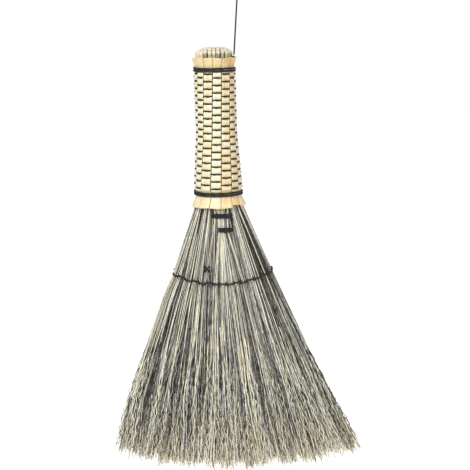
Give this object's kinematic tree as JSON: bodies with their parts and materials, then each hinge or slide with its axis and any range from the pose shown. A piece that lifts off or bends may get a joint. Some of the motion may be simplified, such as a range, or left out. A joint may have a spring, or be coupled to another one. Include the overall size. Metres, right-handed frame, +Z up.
{
  "type": "hand broom",
  "caption": "Hand broom of broomcorn with a plaited handle, a flared brush kept flat by a sewn band, and a cord loop to hang it up",
  "frame": {"origin": "The point where the hanging loop bears on its peg, inside the top of the loop.", "axes": "+Z runs up along the handle's axis, +X to the right across the flat brush, -Y is the front of the brush."},
  "size_m": [0.2038, 0.0467, 0.4039],
  "materials": {
    "broomcorn_fibre": "dry grey and straw-coloured broomcorn fibres",
    "split_stalk": "pale straw, smooth split stalks",
    "waxed_cord": "black twisted cord, waxed",
    "loop_cord": "black twisted cord, waxed"
  },
  "bodies": {
    "loop": {"hang_loop": "loop_cord"},
    "broom": {"broomcorn_head_01": "broomcorn_fibre", "broomcorn_head_02": "broomcorn_fibre", "broomcorn_head_03": "broomcorn_fibre", "broomcorn_head_04": "broomcorn_fibre", "broomcorn_head_05": "broomcorn_fibre", "broomcorn_head_06": "broomcorn_fibre", "broomcorn_head_07": "broomcorn_fibre", "broomcorn_head_08": "broomcorn_fibre", "broomcorn_head_09": "broomcorn_fibre", "broomcorn_head_10": "broomcorn_fibre", "broomcorn_head_11": "broomcorn_fibre", "broomcorn_head_12": "broomcorn_fibre", "broomcorn_head_13": "broomcorn_fibre", "broomcorn_head_14": "broomcorn_fibre", "broomcorn_head_15": "broomcorn_fibre", "broomcorn_head_16": "broomcorn_fibre", "broomcorn_head_17": "broomcorn_fibre", "broomcorn_head_18": "broomcorn_fibre", "broomcorn_head_19": "broomcorn_fibre", "splint_01": "split_stalk", "splint_02": "split_stalk", "splint_03": "split_stalk", "splint_04": "split_stalk", "splint_05": "split_stalk", "splint_06": "split_stalk", "splint_07": "split_stalk", "splint_08": "split_stalk", "splint_09": "split_stalk", "splint_10": "split_stalk", "splint_11": "split_stalk", "splint_12": "split_stalk", "splint_13": "split_stalk", "splint_14": "split_stalk", "splint_15": "split_stalk", "plaiting_cord": "waxed_cord", "top_whipping": "waxed_cord", "lower_whipping": "waxed_cord", "centre_tie": "waxed_cord", "stitch_band": "waxed_cord", "stitch_thread": "waxed_cord", "stitch_knot": "waxed_cord", "loop_ends": "waxed_cord"}
  },
  "joints": [
    {"name": "broom_swing", "type": "hinge", "parent": "loop", "child": "broom", "pos_m": [-0.00492, 0, -0.05859], "axis": [0, -1, 0], "range_deg": [-35, 95]}
  ]
}
